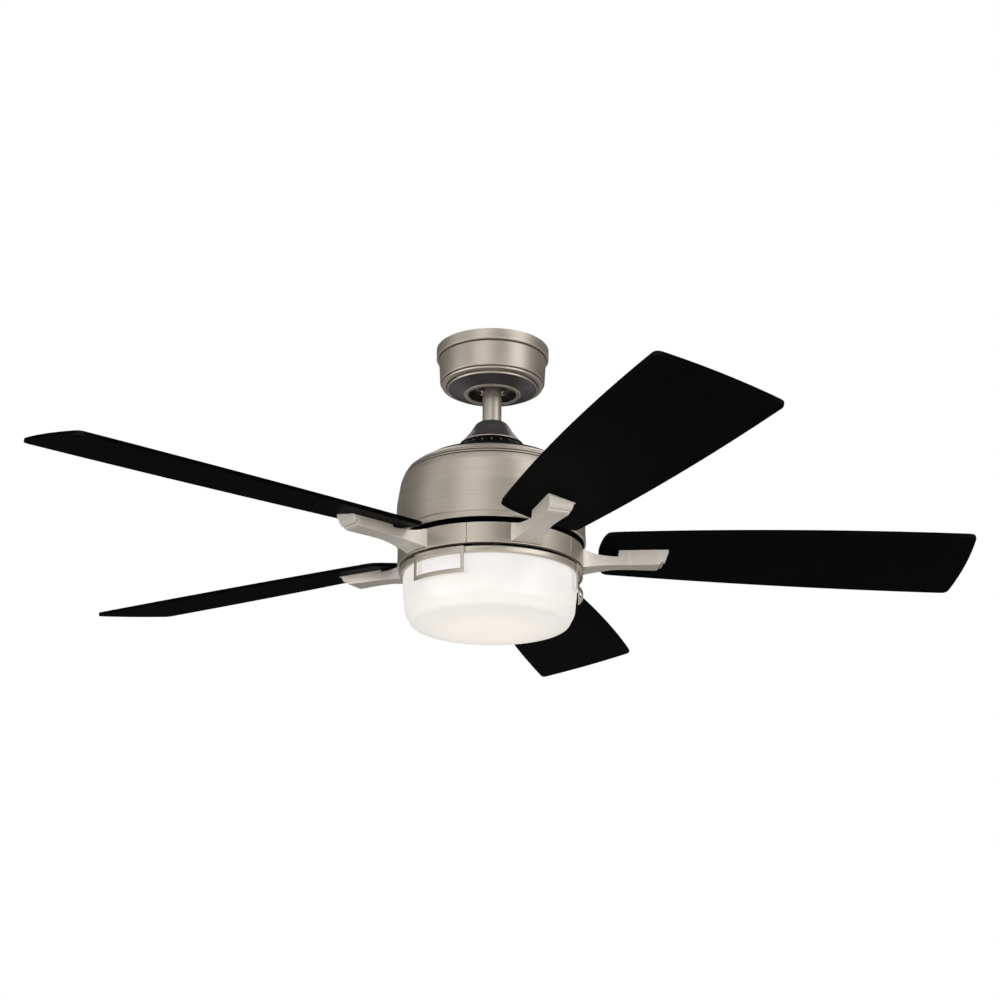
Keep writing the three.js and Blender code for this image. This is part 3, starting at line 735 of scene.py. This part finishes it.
def make_motor_cap():
    """The black cap under the cover, with long vents and a ring of small ones above them."""
    rim = 44.4
    seat = top("motor_cap") / MM
    corners = [
        (8.4, -157.3), (36, -157.3, 1), (41.4, seat, 0.6), (rim, seat, 0.4), (45.4, -147.4, 1),
        (49, -150.6, 2), (62, -161.4, 8), (74, -168, 10), (96, -173.6, 0.6), (95, -176, 0.5),
        (72, -171, 8), (59, -164, 6), (44, -163, 2), (8.4, -163),
    ]
    cap = revolved_mesh("cap", corners)
    vents = 12
    slot = beveled(box_mesh((62, -2.6, -180), (78, 2.6, -150)), 2.4 * MM, 4, 80)
    cap = combined(cap, repeated(slot, vents, math.pi / vents), "DIFFERENCE")
    small_vents = 24
    inner, outer = 48.6, 51
    hole = beveled(box_mesh((inner, -0.8, -180), (outer, 0.8, -140)), 0.6 * MM, 3, 80)
    cap = combined(cap, repeated(hole, small_vents, math.radians(-90)), "DIFFERENCE")
    lid = piece("vented_cap", cap, "hanging", "black_paint", ["motor_cap"])

    def vent_wall(radius, height, normal):
        return inner - 0.1 < radius < outer + 0.1 and abs(normal.z) < 0.1

    plated(lid, vent_wall, "raw_steel")


def make_housing():
    """The drum, from its open top over the stepped shoulder to a fine groove near its foot."""
    low = foot("motor_housing") / MM
    corners = [
        (87, -176.4, 0.4), (100, -177.4, 6), (108.6, -181.4, 5), (112.9, -185.2, 1.2),
        (112.3, -186.2, 0.3), (116.2, -187.6, 1.6), (118, -190.7, 0.7), (116, -191.3, 0.2),
        (116.1, -192.4, 0.2),
        (119.4, -193.1, 0.9), (120.7, -195.2, 0.6), (118.7, -195.8, 0.2), (118.9, -196.9, 0.2),
        (121.4, -197.5, 0.7), (124.8, -207, 18), (128.9, -236, 40),
        (129.8, -280.6, 1), (129.2, -281.6, 0.5), (130.2, -282.8, 1), (130.2, -288.6, 1),
        (128.9, low, 0.6), (127.6, low, 0.4), (128, -281, 1), (127.6, -238, 40), (117, -198, 12),
        (114.6, -191, 2), (99.6, -179, 5), (87, -178),
    ]
    shell = revolved_mesh("housing", corners, 192)
    piece("housing_shell", shell, "hanging", "brushed_nickel", ["motor_housing"])


# ---------------------------------------------------------------- arms and blades


def blade_under(x, y):
    """Height of the blade's underside over a point of the arm's own frame, in millimetres."""
    across = y * math.cos(ARM_LEAD) + x * math.sin(ARM_LEAD)
    half = BLADE_THICKNESS / MM / 2 / math.cos(BLADE_PITCH)
    clearance = 0.3
    return BLADE_HEIGHT / MM - half - clearance - across * math.tan(BLADE_PITCH)


def between(a, b, c, d, t):
    """The value at t on the smooth curve from b to c, led by a before it and d after it."""
    slope = c - a
    square = 2 * a - 5 * b + 4 * c - d
    cube = 3 * b - a - 3 * c + d
    return 0.5 * (2 * b + slope * t + square * t * t + cube * t ** 3)


def eased(stations, count):
    """Stations along the arm joined by smooth curves, with count steps between each two."""
    result = []
    last = len(stations) - 1
    for index in range(last):
        around = [stations[max(0, min(last, index + offset))] for offset in (-1, 0, 1, 2)]
        for step in range(count):
            result.append([between(*values, step / count) for values in zip(*around)])
    result.append(list(stations[-1]))
    return result


def arm_mesh():
    """The casting, along X: a fifth of the band, a neck that flares into it, and the pad."""
    high, low = -296.7, -324.4
    outer, inner = 126.4, 119.4
    half_angle = math.pi / BLADES - 0.15 / outer
    steps = 36
    corners = [(inner, low), (outer, low), (outer, high), (inner, high)]
    sections = []
    for step in range(steps + 1):
        angle = half_angle * (2 * step / steps - 1)
        sections.append([Vector((r * math.cos(angle), r * math.sin(angle), z)) * MM for r, z in corners])
    band = beveled(loft_mesh(sections), 0.7 * MM, 3, 40)

    # Stations are x, half width below, half width above, underside and top, in millimetres.
    # The pad and its end leave out the top, because they reach up to the blade.
    neck = eased([
        (120.5, 22.2, 22.2, low + 1.2, high - 1), (127.5, 20.6, 20.6, low + 2, high - 1.2),
        (133, 18.9, 18.7, -321, -299.4), (140, 17.5, 17, -319.7, -301.4),
        (150, 15.9, 15.3, -318.2, -302.8), (162, 13.9, 13.6, -316.5, -303.5),
        (174, 12.6, 12.6, -315.4, -303.7),
    ], 5)
    pad = eased([
        (175, 12.6, 12.6, -315.4), (190, 12.3, 13.8, -314.9), (210, 13.2, 15.7, -314.6),
        (226.5, 14.6, 17.2, -314.2),
    ], 4)
    end = [
        (229.2, 14.8, 17.4, -313.9), (231, 14.9, 17.5, -313), (232.2, 14.9, 17.6, -312),
        (232.8, 15.0, 17.6, -310), (234, 15.2, 17.7, -309.8), (234.7, 15.3, 17.8, -311.2),
        (236.6, 15.6, 17.9, -309.9), (238.4, 16.2, 18, -306.9), (240, 16.9, 18.1, -303),
        (241.3, 17.5, 18.2, -299.6), (242.4, 18.3, 18.3, -297),
    ]
    lip = 1.2  # the least height of the pad's end under the blade

    sections = []
    for x, below, above, under, upper in neck:
        sections.append([(x, -below, under), (x, below, under), (x, above, upper), (x, -above, upper)])
    for x, below, above, under in pad + end:
        left, right = blade_under(x, -above), blade_under(x, above)
        low_left, low_right = min(under, left - lip), min(under, right - lip)
        lower = [(x, -below, low_left), (x, below, low_right)]
        sections.append(lower + [(x, above, right), (x, -above, left)])
    sections = [[Vector(point) * MM for point in section] for section in sections]
    neck_and_pad = beveled(loft_mesh(sections), 0.5 * MM, 3, 40)
    return combined(band, neck_and_pad, "UNION")


def curve(start, control, end, steps):
    """Points of a smooth curve from start to just before end, bent towards control."""
    points = []
    for step in range(steps):
        t = step / steps
        points.append(tuple(
            a * (1 - t) ** 2 + b * 2 * t * (1 - t) + c * t * t for a, b, c in zip(start, control, end)
        ))
    return points


def blade_mesh():
    """The blade along X, flat at zero height: curved root, bowed edges and a curved tip."""
    spans = [
        ((148, 0), (149.5, -30), (156, -42), 10),
        ((156, -42), (157, -46), (168, -47.5), 6),
        ((168, -47.5), (400, -70), (645, -64), 40),
        ((645, -64), (655, -63.6), (655.6, -55), 6),
        ((655.6, -55), (663, 15), (654.6, 84.5), 24),
        ((654.6, 84.5), (653.6, 93.2), (644, 93), 6),
        ((644, 93), (400, 88), (166, 62.5), 40),
        ((166, 62.5), (156.5, 61.5), (155, 52), 6),
        ((155, 52), (149.5, 30), (148, 0), 12),
    ]
    outline = []
    for start, control, end, steps in spans:
        outline += curve(start, control, end, steps)
    outline = [(x * MM, y * MM) for x, y in outline]
    half = BLADE_THICKNESS / 2
    return beveled(plate_mesh(outline, -half, half), 1.1 * MM, 4, 60)


def make_arms_and_blades():
    arm = arm_mesh()
    board = blade_mesh()
    screw = screw_mesh(head=4.4, neck=2.2, length=5.2, height=2.4)
    spots = [(192, 0), (226, -9.5), (226, 9.5)]
    for index in range(BLADES):
        azimuth = FIRST_BLADE + index * 2 * math.pi / BLADES
        number = index + 1
        turn = Matrix.Rotation(azimuth, 4, "Z")
        tilt = Matrix.Translation((0, 0, BLADE_HEIGHT)) @ Matrix.Rotation(-BLADE_PITCH, 4, "X")
        lead = Matrix.Rotation(azimuth + ARM_LEAD, 4, "Z")
        casting = piece(
            f"arm_casting_{number}", arm.copy(), "rotor", "nickel_casting", [f"arm_{number}"],
            lead, flat=True,
        )
        plated(casting, lambda radius, height, normal: radius < BAND_RADIUS)
        piece(
            f"blade_board_{number}", board.copy(), "rotor", "blade_black", [f"blade_{number}"],
            turn @ tilt, flat=True,
        )
        for place, (x, y) in enumerate(spots):
            seat = Matrix.Translation((x * MM, y * MM, BLADE_THICKNESS / 2 + GAP))
            name = f"screw_{number}_{place + 1}"
            node = f"blade_screw_{number}_{place + 1}"
            piece(name, screw.copy(), "rotor", "brushed_nickel", [node], turn @ tilt @ seat)


# ---------------------------------------------------------------- light


def make_light_ring():
    radius = reach("light_ring") / MM
    low, high = foot("light_ring") / MM, top("light_ring") / MM
    corners = [
        (radius - 3.7, high - 0.1, 0.3), (radius - 0.7, high, 0.7), (radius, high - 1.2, 0.8),
        (radius - 0.7, high - 5.4, 1.2), (radius - 0.9, high - 5.8, 0.3), (radius - 1.0, low + 1.4, 0.8),
        (radius - 2.2, low, 0.6), (119.4, low, 0.3), (119.4, low + 1.2, 0.3),
        (radius - 3.7, high - 3, 0.5),
    ]
    band = revolved_mesh("ring", corners, 192)
    piece("light_band", band, "hanging", "brushed_nickel", ["light_ring"])


def make_frames():
    """Curved rectangular frames that hang from the ring in front of the glass."""
    ring_low, ring_high = foot("light_ring"), top("light_ring")
    low = foot("glass_frame_1")
    back = reach("light_ring") + GAP
    depth = 1.8 * MM
    side_bar = 4.6 * MM / back
    bottom_bar = 6 * MM
    columns = 28
    half = FRAME_SPAN / 2
    angles = [-half]
    angles += [(half - side_bar) * (2 * step / columns - 1) for step in range(columns + 1)]
    angles += [half]
    heights = [low, low + bottom_bar, ring_low, ring_high]
    points = []
    for angle in angles:
        for height in heights:
            points.append((back * math.cos(angle), back * math.sin(angle), height))
    rows = len(heights)
    faces = []
    for column in range(len(angles) - 1):
        for row in range(rows - 1):
            window = row == 1 and 0 < column < len(angles) - 2
            if not window:
                corner = column * rows + row
                faces.append([corner, corner + rows, corner + rows + 1, corner + 1])
    sheet = object_of("work", mesh_from("frame", points, faces))
    thick = sheet.modifiers.new("thick", "SOLIDIFY")
    thick.thickness = depth
    thick.offset = 1
    thick.use_even_offset = True
    plate = beveled(with_modifiers(sheet), 0.45 * MM, 3, 40)
    for index in range(FRAMES):
        turn = Matrix.Rotation(FIRST_FRAME + index * 2 * math.pi / FRAMES, 4, "Z")
        name = f"glass_trim_{index + 1}"
        node = f"glass_frame_{index + 1}"
        piece(name, plate.copy(), "hanging", "brushed_nickel", [node], turn, flat=True)


def make_glass():
    high, low = top("glass_shade") / MM, foot("glass_shade") / MM
    wall = 3
    corners = [
        (111.2, high, 0.4), (117, high, 0.8), (118.2, -338, 1.5), (118.1, -352, 30),
        (114.8, -386, 16), (106.8, -402.2, 11), (84, -407.4, 40), (0, low),
        (0, low + wall), (84, -404.4, 40), (104.6, -399.8, 9), (111.9, -384, 14), (115.1, -350, 20),
        (114.6, -337.5, 0.4), (111.2, -337.5, 0.3),
    ]
    bowl = revolved_mesh("bowl", corners, 192, 8)
    piece("glass_bowl", bowl, "shade", "opal_glass", ["glass_shade"], angle=40)


# ---------------------------------------------------------------- inner CAD nodes


def finish_cad_nodes():
    """Every node that still shows keeps its shape, and takes the material of its slot."""
    for part in frame["record"]["subparts"]:
        node = frame["nodes"][part["node"]]
        slot = part["material_slot"]
        if part["node"].startswith("rotor_shell"):
            slot = "black_paint"  # the motor's shells take black paint as painted shade, so the gap where they show stays dark
        finish = materials[slot]
        for holder in node.material_slots:
            holder.material = finish


# ---------------------------------------------------------------- studio

SOFTBOXES = [
    # name, azimuth and elevation in degrees, distance, width and height in metres, power in watts
    ("key", -21, 28, 3.2, 2.0, 4.0, 35),
    ("side_right", 54, 28, 3.2, 1.7, 4.0, 44),
    ("side_left", -74, 24, 3.2, 1.2, 4.0, 15),
    ("low_left", -60, -12, 3.4, 2.8, 1.8, 50),
    ("low_right", 44, -12, 3.4, 2.8, 1.8, 44),
    ("top_back", 170, 62, 3.0, 3.0, 3.0, 40),
]


def make_floor():
    """A pale floor, 2.44 m below the ceiling. It glows a little, as in an evenly lit studio."""
    half = 9.0
    height = -2.44
    points = [(-half, -half, height), (half, -half, height), (half, half, height), (-half, half, height)]
    floor = object_of("floor", mesh_from("floor", points, [[0, 1, 2, 3]]))
    finish = Finish("floor", Roughness=0.6)
    clouds = finish.noise(finish.place, 1.5, 4.0)
    pale = finish.blend(clouds, (0.78, 0.78, 0.77), (0.84, 0.84, 0.83))
    finish.feed("Base Color", pale)
    finish.feed("Emission Color", pale)
    finish.shader.inputs["Emission Strength"].default_value = 0.4
    floor.data.materials.append(finish.material)
    floor.visible_diffuse = False  # the room's own light reaches the fan from below


def make_softbox(name, azimuth, elevation, distance, width, height, power):
    """An area light that faces the fan. Azimuth 0 is in front, and 90 to the right."""
    aim = Vector((0, 0, -0.22))
    a, e = math.radians(azimuth), math.radians(elevation)
    way = Vector((math.sin(a) * math.cos(e), -math.cos(a) * math.cos(e), math.sin(e)))
    data = bpy.data.lights.new(name, "AREA")
    data.shape = "RECTANGLE"
    data.size = width
    data.size_y = height
    data.energy = power
    lamp = bpy.data.objects.new(name, data)
    bpy.context.scene.collection.objects.link(lamp)
    lamp.location = aim + way * distance
    lamp.rotation_mode = "QUATERNION"
    lamp.rotation_quaternion = (-way).to_track_quat("-Z", "Y")


def make_world():
    """White behind the fan. Reflections see a soft grey room, darker behind the fan and above."""
    world = bpy.data.worlds.new("studio")
    bpy.context.scene.world = world
    world.use_nodes = True
    tree = world.node_tree
    link = tree.links.new

    def ramp(value, low, high, at_low, at_high):
        node = tree.nodes.new("ShaderNodeMapRange")
        node.interpolation_type = "SMOOTHSTEP"
        limits = {"From Min": low, "From Max": high, "To Min": at_low, "To Max": at_high}
        for name, limit in limits.items():
            if isinstance(limit, bpy.types.NodeSocket):
                link(limit, node.inputs[name])
            else:
                node.inputs[name].default_value = limit
        link(value, node.inputs["Value"])
        return node.outputs[0]

    way = tree.nodes.new("ShaderNodeTexCoord")
    parts = tree.nodes.new("ShaderNodeSeparateXYZ")
    link(way.outputs["Generated"], parts.inputs[0])
    behind = ramp(parts.outputs["Z"], -0.3, 0.1, 0.42, 0.12)
    depth = ramp(parts.outputs["Y"], -0.45, 0.85, 1.0, behind)
    lift = ramp(parts.outputs["Z"], -0.9, 0.3, 0.22, 0.66)
    both = tree.nodes.new("ShaderNodeMath")
    both.operation = "MULTIPLY"
    link(depth, both.inputs[0])
    link(lift, both.inputs[1])
    room = tree.nodes["Background"]
    link(both.outputs[0], room.inputs["Strength"])
    seen = tree.nodes.new("ShaderNodeBackground")
    seen.inputs["Color"].default_value = (1, 1, 1, 1)
    path = tree.nodes.new("ShaderNodeLightPath")
    choice = tree.nodes.new("ShaderNodeMixShader")
    link(path.outputs["Is Camera Ray"], choice.inputs[0])
    link(room.outputs[0], choice.inputs[1])
    link(seen.outputs[0], choice.inputs[2])
    link(choice.outputs[0], tree.nodes["World Output"].inputs["Surface"])


def make_camera():
    """Below and in front of the fan, looking up at it, where the photo was taken from."""
    place = Vector((0, -2.3299, -1.0307))
    pitch, yaw, roll = (math.radians(angle) for angle in (19.109, 0.304, 0.542))
    ahead = Vector((math.sin(yaw) * math.cos(pitch), math.cos(yaw) * math.cos(pitch), math.sin(pitch)))
    side = Vector((math.cos(yaw), -math.sin(yaw), 0))
    up = side.cross(ahead)
    right = side * math.cos(roll) + up * math.sin(roll)
    upward = up * math.cos(roll) - side * math.sin(roll)
    data = bpy.data.cameras.new("camera")
    data.lens = 64.45
    data.sensor_width = 36
    data.clip_start = 0.05
    data.clip_end = 60
    camera = bpy.data.objects.new("camera", data)
    bpy.context.scene.collection.objects.link(camera)
    basis = Matrix((right, upward, -ahead)).transposed().to_4x4()
    camera.matrix_world = Matrix.Translation(place) @ basis
    bpy.context.scene.camera = camera


make_canopy()
make_trim_ring()
make_canopy_screws()
make_bracket()
make_receiver()
make_ball()
make_downrod()
make_cover()
make_motor_cap()
make_housing()
make_arms_and_blades()
make_light_ring()
make_frames()
make_glass()
finish_cad_nodes()

make_floor()
make_world()
make_camera()
for softbox in SOFTBOXES:
    make_softbox(*softbox)
bpy.context.scene.view_settings.view_transform = "Standard"
